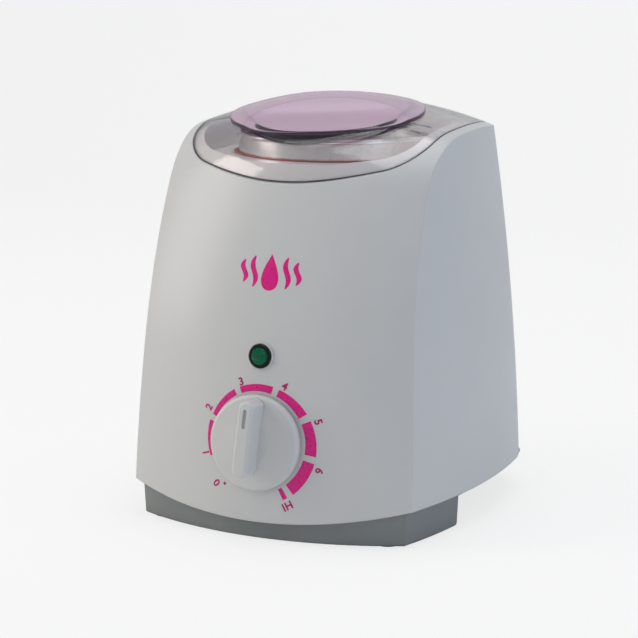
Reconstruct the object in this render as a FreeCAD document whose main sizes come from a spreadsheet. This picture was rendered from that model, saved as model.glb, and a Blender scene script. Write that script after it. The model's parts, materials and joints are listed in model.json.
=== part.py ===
"""Wax warmer pot: a salon heater for an 800 ml pot of depilatory wax, as a parametric FreeCAD document.

Millimetres, +Z up, front towards -Y, origin at the middle of the footprint on the surface it stands on.
The outer form is one smooth volume: a front surface turned about an axis behind the object, two side
surfaces and a rear surface turned the same way, and a crown cut by a large sphere.  The shell, the lid
and the deck are layers of that form at different depths, so every skin follows the one below it.
"""
import FreeCAD
import Part
import Sketcher
import os
from math import asin, cos, degrees, radians, sin, sqrt

Vector = FreeCAD.Vector
Rotation = FreeCAD.Rotation
Placement = FreeCAD.Placement

DIMENSIONS = {
    # outer form: plan axes, radii at the bottom and at the top of the turned surfaces, profile bends
    "form_height": 215.0,
    "front_axis_y": 87.4,
    "front_low": 170.8,
    "front_mid": 161.3,
    "front_mid_z": 90.0,
    "front_high": 112.4,
    "front_bend_low": 1297.0,
    "front_bend_high": 290.0,
    "side_axis_x": 172.8,
    "side_axis_y": 28.0,
    "side_low": 265.15,
    "side_high": 241.9,
    "side_bend": 1440.0,
    "rear_axis_y": -80.6,
    "rear_low": 177.2,
    "rear_high": 176.8,
    "rear_bend": 20000.0,
    "crown_radius": 205.0,
    "crown_y": 29.0,
    "crown_top": 206.9,
    "roll_radius": 52.0,
    "corner_radius": 42.0,
    # body shell
    "wall": 2.4,
    "rim_z": 18.7,
    "lip_z": 10.2,
    "lip_bend": 331.0,
    # lid opening, as four round edges in plan
    "lid_front_y": 47.8,
    "lid_front": 97.0,
    "lid_side": 240.6,
    "lid_rear": 173.8,
    "lid_corner_front": 34.0,
    "lid_corner_rear": 37.0,
    "lid_wall": 2.5,
    "lid_gap": 0.4,
    "ledge_depth": 2.6,
    "ledge_width": 4.0,
    "ledge_z": 156.0,
    "deck_z": 180.0,
    "deck_wall": 2.4,
    "skirt": 7.6,
    # lid grip
    "grip_y": 8.0,
    "grip_radius": 49.5,
    "grip_neck": 43.0,
    "grip_top": 210.0,
    "grip_dome": 160.0,
    "grip_dome_y": 23.6,
    "grip_wall": 2.2,
    "grip_plug": 6.0,
    "lug_spin": -82.0,
    "scoop_long": 220.0,
    "scoop_round": 60.0,
    "scoop_x": 17.4,
    "scoop_y": 52.0,
    "scoop_z": 260.4,
    "scoop_rise": 5.1,
    "scoop_turn": 23.0,
    # wax pot and heating well
    "pot_y": 19.4,
    "pot_radius": 50.0,
    "pot_wall": 0.8,
    "pot_bottom": 88.3,
    "pot_top": 190.5,
    "bead_radius": 1.2,
    "well_radius": 50.6,
    "well_wall": 2.0,
    "well_bottom": 86.0,
    "well_flange": 60.0,
    "well_screw_radius": 57.0,
    "band_low": 104.0,
    "band_height": 46.0,
    "band_wall": 1.6,
    "wool_inner": 56.0,
    "wool_outer": 61.0,
    "wool_low": 95.0,
    "wool_height": 70.0,
    # base
    "foot_front": 166.0,
    "foot_side": 260.4,
    "foot_rear_y": -15.6,
    "base_bottom": 0.4,
    "base_wall": 2.4,
    "pan_z": 13.3,
    "pan_inset": 7.4,
    "pan_top": 18.5,
    "rear_foot_x": 44.0,
    "rear_foot_front": 51.4,
    "rear_foot_depth": 30.0,
    "pad_radius": 7.0,
    "pad_height": 2.6,
    "screw_front_x": 66.0,
    "screw_front_y": -37.6,
    "screw_rear_x": 58.0,
    "screw_rear_y": 59.4,
    "boss_radius": 4.6,
    "boss_top": 46.0,
    # dial and lamp
    "dial_z": 49.3,
    "knob_radius": 23.5,
    "bar_half": 3.9,
    "bar_low": -12.0,
    "bar_high": 19.6,
    "bar_height": 12.4,
    "slot_low": 9.6,
    "slot_high": 17.6,
    "shaft_radius": 3.0,
    "running_fit": 0.05,
    "knob_turn": 4.5,
    "lamp_z": 91.0,
    "bezel_radius": 5.9,
    "lens_radius": 3.6,
    "inlet_z": 46.0,
    "inlet_y": 97.2,
    "block_y": 41.4,
}

DOC = FreeCAD.newDocument("WaxWarmer")
NODES = {}


class Size:
    """A length that knows both its value and the spreadsheet expression behind it."""

    def __init__(self, value, text):
        self.value = value
        self.text = text

    def join(self, other, sign, swap=False):
        other = other if isinstance(other, Size) else Size(float(other), repr(float(other)))
        left, right = (other, self) if swap else (self, other)
        values = {
            "+": left.value + right.value,
            "-": left.value - right.value,
            "*": left.value * right.value,
        }
        return Size(values[sign], "(%s %s %s)" % (left.text, sign, right.text))

    def __add__(self, other):
        return self.join(other, "+")

    def __radd__(self, other):
        return self.join(other, "+", True)

    def __sub__(self, other):
        return self.join(other, "-")

    def __rsub__(self, other):
        return self.join(other, "-", True)

    def __mul__(self, other):
        return self.join(other, "*")

    def __rmul__(self, other):
        return self.join(other, "*", True)

    def __neg__(self):
        return self.join(-1.0, "*")


def make_sheet():
    """Write the driving dimensions to a spreadsheet and return them as Size values."""
    sheet = DOC.addObject("Spreadsheet::Sheet", "Sizes")
    sizes = {}
    for row, (alias, value) in enumerate(DIMENSIONS.items(), start=1):
        sheet.set("A%d" % row, alias)
        sheet.set("B%d" % row, repr(value))
        sheet.setAlias("B%d" % row, alias)
        sizes[alias] = Size(value, "Sizes." + alias)
    DOC.recompute()
    return sizes


D = make_sheet()


def number(size):
    """Plain value of a Size or of a number."""
    return size.value if isinstance(size, Size) else float(size)


def bind(obj, prop, size):
    """Set a property and tie it to the sheet when the size comes from there."""
    setattr(obj, prop, number(size))
    if isinstance(size, Size):
        obj.setExpression(prop, size.text)


def place(obj, x=0.0, y=0.0, z=0.0, turn=None):
    """Stand an object at a point whose coordinates may come from the sheet."""
    obj.Placement = Placement(Vector(number(x), number(y), number(z)), turn or Rotation())
    for letter, size in zip("xyz", (x, y, z)):
        if isinstance(size, Size):
            obj.setExpression("Placement.Base." + letter, size.text)
    return obj


def node(label, obj):
    """Name a finished piece; its label is also its file name."""
    obj.Label = label
    NODES[label] = obj
    return obj


# ---------------------------------------------------------------- sketches and primitives

def pin(sketch, kind, edge, end, size):
    """Hold one coordinate of one sketch point at a size."""
    if number(size) == 0.0:
        axis = -2 if kind == "DistanceX" else -1
        sketch.addConstraint(Sketcher.Constraint("PointOnObject", edge, end, axis))
        return
    index = sketch.addConstraint(Sketcher.Constraint(kind, edge, end, number(size)))
    if isinstance(size, Size):
        sketch.setExpression("Constraints[%d]" % index, size.text)


def draw_outline(sketch, corners, bends):
    """Closed outline through the corners, anticlockwise; bends[i] rounds edge i outwards by that radius."""
    points = [Vector(number(x), number(y), 0) for x, y in corners]
    ends = []
    for i, first in enumerate(points):
        last = points[(i + 1) % len(points)]
        if i in bends:
            radius = number(bends[i])
            chord = last - first
            side = Vector(chord.y, -chord.x, 0).normalize()
            rise = radius - sqrt(radius ** 2 - chord.Length ** 2 / 4)
            curve = Part.Arc(first, (first + last) * 0.5 + side * rise, last)
            edge = sketch.addGeometry(curve)
            start = 1 if sketch.getPoint(edge, 1).distanceToPoint(first) < 1e-6 else 2
            index = sketch.addConstraint(Sketcher.Constraint("Radius", edge, radius))
            if isinstance(bends[i], Size):
                sketch.setExpression("Constraints[%d]" % index, bends[i].text)
        else:
            edge = sketch.addGeometry(Part.LineSegment(first, last))
            start = 1
        ends.append((edge, start, 3 - start))
    for i, (edge, start, end) in enumerate(ends):
        after, after_start, after_end = ends[(i + 1) % len(ends)]
        sketch.addConstraint(Sketcher.Constraint("Coincident", edge, end, after, after_start))
        pin(sketch, "DistanceX", edge, start, corners[i][0])
        pin(sketch, "DistanceY", edge, start, corners[i][1])


def sketched_body(name, role, corners, bends):
    """PartDesign body with one closed sketch on one of its own origin planes."""
    body = DOC.addObject("PartDesign::Body", name)
    plane = next(item for item in body.Origin.OriginFeatures if item.Role == role)
    sketch = body.newObject("Sketcher::SketchObject", name + "_sketch")
    sketch.AttachmentSupport = (plane, [""])
    sketch.MapMode = "FlatFace"
    draw_outline(sketch, corners, bends or {})
    return body, sketch


def turned(name, corners, bends=None):
    """Body turned about its own Z axis from (radius, height) corners."""
    body, sketch = sketched_body(name, "XZ_Plane", corners, bends)
    spin = body.newObject("PartDesign::Revolution", name + "_turn")
    spin.Profile = sketch
    spin.ReferenceAxis = (sketch, ["V_Axis"])
    spin.Angle = 360.0
    return body


def padded(name, corners, length, bends=None):
    """Body padded along its own Z axis from a flat outline."""
    body, sketch = sketched_body(name, "XY_Plane", corners, bends)
    pad = body.newObject("PartDesign::Pad", name + "_pad")
    pad.Profile = sketch
    bind(pad, "Length", length)
    return body


def cylinder(name, radius, height):
    obj = DOC.addObject("Part::Cylinder", name)
    bind(obj, "Radius", radius)
    bind(obj, "Height", height)
    return obj


def cone(name, low, high, height):
    obj = DOC.addObject("Part::Cone", name)
    bind(obj, "Radius1", low)
    bind(obj, "Radius2", high)
    bind(obj, "Height", height)
    return obj


def sphere(name, radius):
    obj = DOC.addObject("Part::Sphere", name)
    bind(obj, "Radius", radius)
    return obj


def box(name, length, width, height):
    """Box centred in plan on its placement point, standing on it."""
    half_x = length * 0.5
    half_y = width * 0.5
    corners = [(-half_x, -half_y), (half_x, -half_y), (half_x, half_y), (-half_x, half_y)]
    return padded(name, corners, height)


def slab(name, low, high, reach=600.0):
    """Wide flat block between two heights, for trimming."""
    return place(box(name, reach, reach, high - low), z=low)


def combine(kind, name, first, second):
    obj = DOC.addObject(kind, name)
    obj.Base = first
    obj.Tool = second
    return obj


def cut(name, base, *tools):
    for tool in tools:
        base = combine("Part::Cut", name, base, tool)
    return base


def common(name, base, *others):
    for other in others:
        base = combine("Part::Common", name, base, other)
    return base


def fuse(name, base, *others):
    for other in others:
        base = combine("Part::Fuse", name, base, other)
    return base


def group(name, items):
    """Several separate solids of one node."""
    obj = DOC.addObject("Part::Compound", name)
    obj.Links = items
    return obj


def rounded(name, base, radius, wanted):
    """Fillet the edges of base for which wanted(edge) holds."""
    DOC.recompute()
    picked = [i for i, edge in enumerate(base.Shape.Edges, start=1) if wanted(edge)]
    if not picked:
        raise ValueError("no edge to round on " + name)
    fillet = DOC.addObject("Part::Fillet", name)
    fillet.Base = base
    fillet.Edges = [(i, number(radius), number(radius)) for i in picked]
    return fillet


# ---------------------------------------------------------------- the outer form

def front_radius(z):
    """Radius of the turned front surface at a height, and its lean from the vertical in degrees."""
    low_lean = asin_lean(D["front_low"], D["front_mid"], 0.0, D["front_mid_z"], D["front_bend_low"])
    height = number(z)
    if height <= D["front_mid_z"].value:
        return arc_step(D["front_low"].value, low_lean, height, D["front_bend_low"].value)
    rise = height - D["front_mid_z"].value
    bend = D["front_bend_high"]
    lean = asin_lean(D["front_mid"], D["front_high"], D["front_mid_z"], D["form_height"], bend)
    return arc_step(D["front_mid"].value, lean, rise, bend.value)


def asin_lean(r_low, r_high, z_low, z_high, bend):
    """Sine of the lean at the lower end of an arc that joins two (radius, height) points."""
    inward = number(r_low) - number(r_high)
    rise = number(z_high) - number(z_low)
    chord = sqrt(inward ** 2 + rise ** 2)
    return sin(asin(inward / chord) - asin(chord / 2 / number(bend)))


def arc_step(radius, sine, rise, bend):
    """Radius and lean after climbing an arc of the given bend from a point with the given lean."""
    sine_now = sine + rise / bend
    inward = bend * (sqrt(1 - sine ** 2) - sqrt(1 - sine_now ** 2))
    return radius - inward, degrees(asin(sine_now))


def outer_form(tag, inset):
    """Solid of the whole outer form, every surface moved in by the inset."""
    top = D["form_height"]
    front_corners = [
        (0.0, 0.0),
        (D["front_low"] - inset, 0.0),
        (D["front_mid"] - inset, D["front_mid_z"]),
        (D["front_high"] - inset, top),
        (0.0, top),
    ]
    front = turned("front" + tag, front_corners, {1: D["front_bend_low"], 2: D["front_bend_high"]})
    place(front, y=D["front_axis_y"])
    crown = sphere("crown" + tag, D["crown_radius"] - inset)
    place(crown, y=D["crown_y"], z=D["crown_top"] - D["crown_radius"])
    capped = common("capped" + tag, front, crown)
    rolled = rounded("rolled" + tag, capped, D["roll_radius"] - inset, is_roll_edge)
    walls = common("walls" + tag, side_form(tag, inset, 1), side_form(tag, inset, -1))
    rear_corners = [(0.0, 0.0), (D["rear_low"] - inset, 0.0), (D["rear_high"] - inset, top), (0.0, top)]
    rear = place(turned("rear" + tag, rear_corners, {1: D["rear_bend"]}), y=D["rear_axis_y"])
    walls = common("walls" + tag, walls, rear)
    walls = rounded("corners" + tag, walls, D["corner_radius"] - inset, is_rear_corner)
    return common("form" + tag, rolled, walls)


def side_form(tag, inset, hand):
    top = D["form_height"]
    corners = [(0.0, 0.0), (D["side_low"] - inset, 0.0), (D["side_high"] - inset, top), (0.0, top)]
    side = turned("side" + tag, corners, {1: D["side_bend"]})
    return place(side, x=D["side_axis_x"] * -hand, y=D["side_axis_y"])


def is_roll_edge(edge):
    return edge.Length > 200 and edge.BoundBox.ZMin > 5 and edge.BoundBox.ZMax > 150


def is_rear_corner(edge):
    box_ = edge.BoundBox
    return box_.ZMin < 1 and box_.ZMax > 200 and box_.YMin > 30 and abs(edge.CenterOfMass.x) > 30


def upright_edge(edge):
    return len(edge.Vertexes) == 2 and edge.BoundBox.ZLength > 0.95 * edge.Length and edge.Length > 1


def lid_prism(tag, offset, low=150.0, high=230.0):
    """Upright block with the lid's plan, made larger or smaller by the offset."""
    height = high - low
    rounds = (
        ("lid_front", 0.0, D["lid_front_y"]),
        ("lid_side", -D["side_axis_x"], D["side_axis_y"]),
        ("lid_side", D["side_axis_x"], D["side_axis_y"]),
        ("lid_rear", 0.0, D["rear_axis_y"]),
    )
    parts = [place(cylinder(alias + tag, D[alias] + offset, height), x, y, low) for alias, x, y in rounds]
    block = common("lid_plan" + tag, *parts)

    def at_front(edge):
        return upright_edge(edge) and edge.CenterOfMass.y < 0 and abs(edge.CenterOfMass.x) > 30

    def at_rear(edge):
        return upright_edge(edge) and edge.CenterOfMass.y > 30 and abs(edge.CenterOfMass.x) > 30

    block = rounded("lid_plan" + tag, block, D["lid_corner_front"] + offset, at_front)
    return rounded("lid_plan" + tag, block, D["lid_corner_rear"] + offset, at_rear)


# ---------------------------------------------------------------- shell, deck and lid

ZERO = Size(0.0, "0")
OPENING_LOW = 150.0
OPENING_HIGH = 230.0
POT_AXIS = (0.0, D["pot_y"])


def make_skins():
    """Body shell, deck and lid: layers of the one outer form."""
    outside = outer_form("_outside", ZERO)
    inside = outer_form("_inside", D["wall"])
    under_lid = outer_form("_under_lid", D["lid_wall"])
    ledge_top = outer_form("_ledge_top", D["ledge_depth"])
    ledge_low = outer_form("_ledge_low", D["ledge_depth"] + D["deck_wall"])
    make_shell(outside, inside)
    make_deck(ledge_top, ledge_low)
    make_lid(outside, under_lid, ledge_top)


def make_shell(outside, inside):
    """White outer shell with its lid opening, dipped front lip, panel holes and screw bosses."""
    skin = cut("skin", outside, inside)
    above_rim = slab("above_rim", D["rim_z"], D["form_height"] + 10.0)
    sideways = Rotation(Vector(1, 0, 0), 90)
    lip_round = cylinder("lip_round", D["lip_bend"], 40.0)
    place(lip_round, 0.0, -55.0, D["lip_z"] + D["lip_bend"], sideways)
    skin = common("shell_trim", skin, fuse("kept", above_rim, lip_round))
    skin = cut("shell_opening", skin, lid_prism("_opening", D["lid_gap"]))
    bosses = []
    for name, (x, y), reach in zip(("front", "rear"), screw_places(), (22.0, 34.0)):
        boss = shell_boss(name, x, y, reach)
        mirror = DOC.addObject("Part::Mirroring", name + "_boss_mirror")
        mirror.Source = boss
        mirror.Normal = Vector(1, 0, 0)
        bosses += [boss, mirror]
    within = outer_form("_within", D["wall"] * 0.5)
    bosses = common("bosses", group("boss_set", bosses), within)
    shell = fuse("shell_bossed", skin, bosses)
    holes = [dial_hole(), lamp_hole(), inlet_hole()] + inlet_bores("inlet_drill", 1.4)
    holes += [pilot_hole(hand, x, y) for hand in (1, -1) for x, y in screw_places()]
    node("body_shell", cut("shell", shell, *holes))


def screw_places():
    return [(D["screw_front_x"], D["screw_front_y"]), (D["screw_rear_x"], D["screw_rear_y"])]


def shell_boss(name, x, y, reach):
    """Screw boss with a rib that runs out into the side wall."""
    low = 19.2
    column = place(cylinder(name + "_boss", D["boss_radius"], D["boss_top"] - low), x, y, low)
    rib = box(name + "_rib", Size(reach, repr(reach)), Size(3.0, "3"), D["boss_top"] - low)
    place(rib, x + reach / 2, y, low)
    return fuse(name + "_boss_rib", column, rib)


def pilot_hole(hand, x, y):
    return place(cylinder("pilot", 1.7, 19.8), x * hand, y, 18.2)


def panel_frame(z):
    """Point and turn of the front panel at a height: local Z out of the panel, local Y up along it."""
    radius, lean = front_radius(z)
    return D["front_axis_y"].value - radius, Rotation(Vector(1, 0, 0), 90 - lean)


def on_panel(obj, z, out=0.0, across=0.0, up=0.0, spin=0.0):
    """Stand an object on the front panel, a distance out of it, across it and up it."""
    y, turn = panel_frame(z)
    shift = turn.multVec(Vector(across, up, out))
    obj.Placement = Placement(Vector(0, y, number(z)) + shift, turn * Rotation(Vector(0, 0, 1), spin))
    return obj


def dial_hole():
    hole = on_panel(cylinder("dial_hole", 5.1, 12.0), D["dial_z"], -8.0)
    left = on_panel(cylinder("dial_screw_hole", 2.3, 12.0), D["dial_z"], -8.0, -14.0)
    right = on_panel(cylinder("dial_screw_hole", 2.3, 12.0), D["dial_z"], -8.0, 14.0)
    return group("dial_holes", [hole, left, right])


def lamp_hole():
    return on_panel(cylinder("lamp_hole", 4.6, 12.0), D["lamp_z"], -8.0)


def inlet_bores(name, radius):
    """Pair of bores through the inlet's flange and the rear wall behind it."""
    backwards = Rotation(Vector(1, 0, 0), 90)
    y = D["inlet_y"] + 5.0
    bores = [cylinder(name, radius, 20.0) for hand in (1, -1)]
    return [place(bore, 14.6 * hand, y, D["inlet_z"], backwards) for bore, hand in zip(bores, (1, -1))]


def inlet_hole():
    opening = box("inlet_opening", Size(22.6, "22.6"), Size(12.0, "12"), Size(16.6, "16.6"))
    return place(opening, 0.0, D["inlet_y"] - 3.8, D["inlet_z"] - 8.3)


def make_deck(ledge_top, ledge_low):
    """White deck under the lid: a ledge that the lid rests on, a wall with a skirt below, and a flat floor."""
    wide = lid_prism("_deck_wide", 5.0)
    narrow = lid_prism("_deck_narrow", -D["ledge_width"])
    thin = lid_prism("_deck_inner", -(D["ledge_width"] + D["deck_wall"]))
    low = D["deck_z"] - D["deck_wall"]
    rim_zone = common("ledge_zone", wide, slab("ledge_band", D["ledge_z"], OPENING_HIGH))
    ledge = cut("ledge", common("ledge_skin", cut("ledge_layer", ledge_top, ledge_low), rim_zone), narrow)
    wall_block = common("deck_wall_block", narrow, slab("deck_wall_band", low - D["skirt"], OPENING_HIGH))
    wall = cut("deck_wall", wall_block, thin)
    floor = common("deck_floor", narrow, slab("deck_floor_band", low, D["deck_z"]))
    middle = common("deck_middle", fuse("deck_wall_floor", wall, floor), ledge_top)
    hole = place(cylinder("deck_hole", D["well_radius"] + 0.6, 20.0), *POT_AXIS, 170.0)
    deck = cut("deck", fuse("deck_whole", ledge, middle), hole)
    pilots = ring_of("deck_pilot", 1.5, 1.9, D["well_screw_radius"], low - 0.1, 4)
    node("top_deck", cut("deck_drilled", deck, *pilots))


def ring_of(name, radius, height, ring, low, count):
    """Upright cylinders evenly spaced on a ring about the pot's axis."""
    items = []
    for i in range(count):
        angle = radians(45 + i * 360 / count)
        item = cylinder(name, radius, height)
        items.append(place(item, ring * cos(angle), D["pot_y"] + ring * sin(angle), low))
    return items


def make_lid(outside, under_lid, below_lid):
    """Clear lid shell, and the tinted grip with its six snap lugs and two finger scoops."""
    skin = cut("lid_skin", outside, under_lid)
    lid = common("lid_cap", skin, lid_prism("_lid", ZERO))
    hole = place(cylinder("lid_hole", D["grip_neck"] + 0.2, 60.0), 0.0, D["grip_y"], OPENING_LOW)
    node("lid_shell", cut("lid", lid, hole))
    make_grip(below_lid)


def make_grip(below_lid):
    """Domed grip: a cap seated on the lid's crown, and a short hollow plug through the lid's hole."""
    axis = (0.0, D["grip_y"])
    dome_place = (0.0, D["grip_dome_y"], D["grip_top"] - D["grip_dome"])
    crown_place = (0.0, D["crown_y"], D["crown_top"] - D["crown_radius"])
    dome = place(sphere("grip_dome", D["grip_dome"]), *dome_place)
    cap = place(cylinder("grip_block", D["grip_radius"], 60.0), *axis, 175.0)
    cap = common("grip_cap", cap, dome)
    cap = cut("grip_seated", cap, place(sphere("grip_seat", D["crown_radius"]), *crown_place))
    plug = place(cylinder("grip_plug_block", D["grip_neck"], 60.0), *axis, 175.0)
    plug_limit = place(sphere("grip_plug_limit", D["crown_radius"] + 0.8), *crown_place)
    plug = common("grip_plug_top", plug, plug_limit)
    plug_floor = place(sphere("grip_plug_floor", D["crown_radius"] - D["grip_plug"]), *crown_place)
    blank = fuse("grip_blank", cap, cut("grip_plug", plug, plug_floor))
    hollow = place(cylinder("grip_hollow_block", D["grip_neck"] - D["grip_wall"], 70.0), *axis, 170.0)
    ceiling = place(sphere("grip_ceiling", D["grip_dome"] - D["grip_wall"]), *dome_place)
    hollow = common("grip_hollow", hollow, ceiling)
    hollow = cut("grip_cavity", hollow, *scoops(D["grip_wall"]))
    grip = cut("grip_shell", blank, hollow, *scoops(ZERO))
    lugs = common("grip_lugs", group("grip_lug_set", snap_lugs()), below_lid)
    node("lid_grip", fuse("grip", grip, lugs))


def scoops(growth):
    """Long egg-shaped cutters for the finger recess on each side of the grip's ridge."""
    items = []
    turn = Rotation(Vector(0, 0, 1), D["scoop_turn"].value)
    for hand in (1, -1):
        egg = DOC.addObject("Part::Ellipsoid", "scoop")
        bind(egg, "Radius1", D["scoop_round"] + growth)
        bind(egg, "Radius2", D["scoop_long"] + growth)
        bind(egg, "Radius3", D["scoop_round"] + growth)
        x = D["scoop_x"] * -hand
        y = D["grip_y"] - D["scoop_y"] * hand
        z = D["scoop_z"] - D["scoop_rise"] * hand
        items.append(place(egg, x, y, z, turn))
    return items


def crown_height(x, y):
    """Height of the crown's sphere above a point in plan."""
    radius = D["crown_radius"].value
    along = y - D["crown_y"].value
    return D["crown_top"].value - radius + sqrt(radius * radius - x * x - along * along)


def snap_lugs():
    """Six small catches on the grip's neck, just below the lid's skin."""
    lugs = []
    for i in range(6):
        turn = Rotation(Vector(0, 0, 1), 60 * i + D["lug_spin"].value)
        lug = box("grip_lug", Size(2.6, "2.6"), Size(6.0, "6"), Size(14.0, "14"))
        base = turn.multVec(Vector(D["grip_neck"].value + 0.2, 0, 0)) + Vector(0, D["grip_y"].value, 0)
        base.z = crown_height(base.x, base.y) - D["grip_plug"].value
        lug.Placement = Placement(base, turn)
        lugs.append(lug)
    return lugs


# ---------------------------------------------------------------- pot, well and heater

def make_pot():
    """Plain steel wax pot with a rolled rim."""
    radius = D["pot_radius"]
    wall = D["pot_wall"]
    low = D["pot_bottom"]
    top = D["pot_top"]
    bead = D["bead_radius"]
    corners = [
        (0.0, low),
        (radius - 4.0, low),
        (radius, low + 4.0),
        (radius, top - bead * 2.0),
        (radius + 0.2, top - bead * 2.0),
        (radius + 0.2 + bead, top - bead),
        (radius + 0.2, top),
        (radius - wall, top),
        (radius - wall, low + 4.0 + wall * 0.4),
        (radius - 4.0 - wall * 0.4, low + wall),
        (0.0, low + wall),
    ]
    node("wax_pot", place(turned("pot_can", corners, {1: Size(4.0, "4"), 4: bead, 5: bead}), y=D["pot_y"]))


def make_well():
    """Heating well with its flange, seal ring, band heater, wool jacket and fasteners."""
    inner = D["well_radius"]
    outer = inner + D["well_wall"]
    flange_top = D["deck_z"] - D["deck_wall"] - 0.1
    flange_low = flange_top - D["well_wall"]
    corners = [
        (0.0, D["well_bottom"]),
        (outer, D["well_bottom"]),
        (outer, flange_low),
        (D["well_flange"], flange_low),
        (D["well_flange"], flange_top),
        (inner, flange_top),
        (inner, D["well_bottom"] + D["well_wall"]),
        (0.0, D["well_bottom"] + D["well_wall"]),
    ]
    well = place(turned("well_cup", corners), y=D["pot_y"])
    holes = ring_of("well_hole", 1.7, 8.0, D["well_screw_radius"], flange_low - 3.0, 4)
    holes.append(place(cylinder("fuse_tapped", 1.6, 2.2), 13.0, D["pot_y"] + 6.6, D["well_bottom"] - 0.1))
    node("heating_well", cut("well", well, *holes))
    screws = []
    shanks = ring_of("well_shank", 1.4, 4.0, D["well_screw_radius"], flange_low - 0.2, 4)
    heads = ring_of("well_head", 2.8, 1.8, D["well_screw_radius"], flange_low - 1.9, 4)
    for shank, head in zip(shanks, heads):
        screws.append(fuse("well_screw", shank, head))
    node("well_screws", group("well_screw_set", screws))
    neck = D["pot_radius"] + 0.4
    floor = D["deck_z"]
    seal = [
        (neck, floor - D["deck_wall"] + 0.1),
        (inner + 0.5, floor - D["deck_wall"] + 0.1),
        (inner + 0.5, floor + 0.05),
        (inner + 1.8, floor + 0.05),
        (inner + 1.8, floor + 0.6),
        (neck, floor + 0.6),
    ]
    node("seal_ring", place(turned("seal", seal), y=D["pot_y"]))
    make_heater(outer)


def tube(name, inner, outer, low, height):
    corners = [(inner, 0.0), (outer, 0.0), (outer, height), (inner, height)]
    return place(turned(name, corners), POT_AXIS[0], POT_AXIS[1], low)


def make_heater(outer):
    inner = outer + 0.1
    outer_band = inner + D["band_wall"]
    low = D["band_low"]
    height = D["band_height"]
    band = tube("band", inner, outer_band, low, height)
    gap_y = D["pot_y"] + outer_band
    gap = place(box("band_gap", Size(5.0, "5"), Size(8.0, "8"), height + 2.0), 0.0, gap_y, low - 1.0)
    tabs = []
    for hand in (1, -1):
        tab = box("band_tab", Size(1.2, "1.2"), Size(10.0, "10"), Size(14.0, "14"))
        tabs.append(place(tab, hand * 3.1, gap_y + 4.3, low + 16.0))
    band = fuse("band_tabs", cut("band_open", band, gap), *tabs)
    pin_y = gap_y + 5.2
    pin_z = low + 23.0
    across = Rotation(Vector(0, 1, 0), 90)
    bolt = place(cylinder("band_bolt", 1.5, 14.0), -6.6, pin_y, pin_z, across)
    bolt_hole = place(cylinder("band_bolt_hole", 1.7, 20.0), -10.0, pin_y, pin_z, across)
    head = place(cylinder("band_bolt_head", 2.8, 2.2), -6.0, pin_y, pin_z, across)
    node("heater_band", cut("band_done", band, bolt_hole))
    node("band_screw", fuse("band_screw_body", bolt, head))
    nut = cut("band_nut_body", hexagon("band_nut", 5.5, 2.4), cylinder("band_nut_bore", 1.55, 4.0))
    node("band_nut", place(nut, 3.9, pin_y, pin_z, across))
    wool = tube("wool", D["wool_inner"], D["wool_outer"], D["wool_low"], D["wool_height"])
    slot = box("wool_slot", Size(26.0, "26"), Size(16.0, "16"), D["wool_height"] + 2.0)
    place(slot, 0.0, D["pot_y"] + 58.0, D["wool_low"] - 1.0)
    node("wool_jacket", cut("wool_done", wool, slot))
    make_fuse()


def hexagon(name, across, height):
    """Hexagonal prism on its own Z axis."""
    prism = DOC.addObject("Part::Prism", name)
    prism.Polygon = 6
    prism.Circumradius = across / sqrt(3)
    prism.Height = height
    return prism


def make_fuse():
    """Thermal fuse held to the bottom of the well by a strap and one screw."""
    z = D["well_bottom"] - 2.3
    strap_x = 13.0
    screw_y = D["pot_y"] + 6.6
    along = Rotation(Vector(0, 1, 0), 90)
    can = place(cylinder("fuse_can", 2.1, 14.0), 6.0, D["pot_y"], z, along)
    leads = place(cylinder("fuse_leads", 0.6, 30.0), -2.0, D["pot_y"], z, along)
    node("thermal_fuse", fuse("fuse", can, leads))
    strap = box("fuse_strap", Size(5.0, "5"), Size(14.0, "14"), Size(5.6, "5.6"))
    place(strap, strap_x, D["pot_y"] + 3.0, z - 3.4)
    channel = box("fuse_channel", Size(9.0, "9"), Size(4.6, "4.6"), Size(8.0, "8"))
    place(channel, strap_x, D["pot_y"], z - 2.4)
    relief = box("fuse_relief", Size(9.0, "9"), Size(12.0, "12"), Size(8.0, "8"))
    place(relief, strap_x, D["pot_y"] + 9.4, z - 7.1)
    hole = place(cylinder("fuse_hole", 1.7, 20.0), strap_x, screw_y, z - 8.7)
    node("fuse_strap", cut("strap", strap, channel, relief, hole))
    shank = place(cylinder("fuse_screw_shank", 1.5, 5.0), strap_x, screw_y, z - 1.1)
    head = place(cylinder("fuse_screw_head", 2.8, 1.9), strap_x, screw_y, z - 1.1)
    node("fuse_screw", fuse("fuse_screw_body", shank, head))


# ---------------------------------------------------------------- base

def tapered_plan(name, low, height, front, sides, rears):
    """Block whose plan has the form's front, side and rear arcs, each with a low and a high radius."""
    parts = [place(cone(name, front[0], front[1], height), 0.0, D["front_axis_y"], low)]
    for hand in (1, -1):
        side = cone(name, sides[0], sides[1], height)
        parts.append(place(side, D["side_axis_x"] * -hand, D["side_axis_y"], low))
    parts.append(place(cone(name, rears[0], rears[1], height), 0.0, D["rear_axis_y"], low))
    return common(name, *parts)


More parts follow.
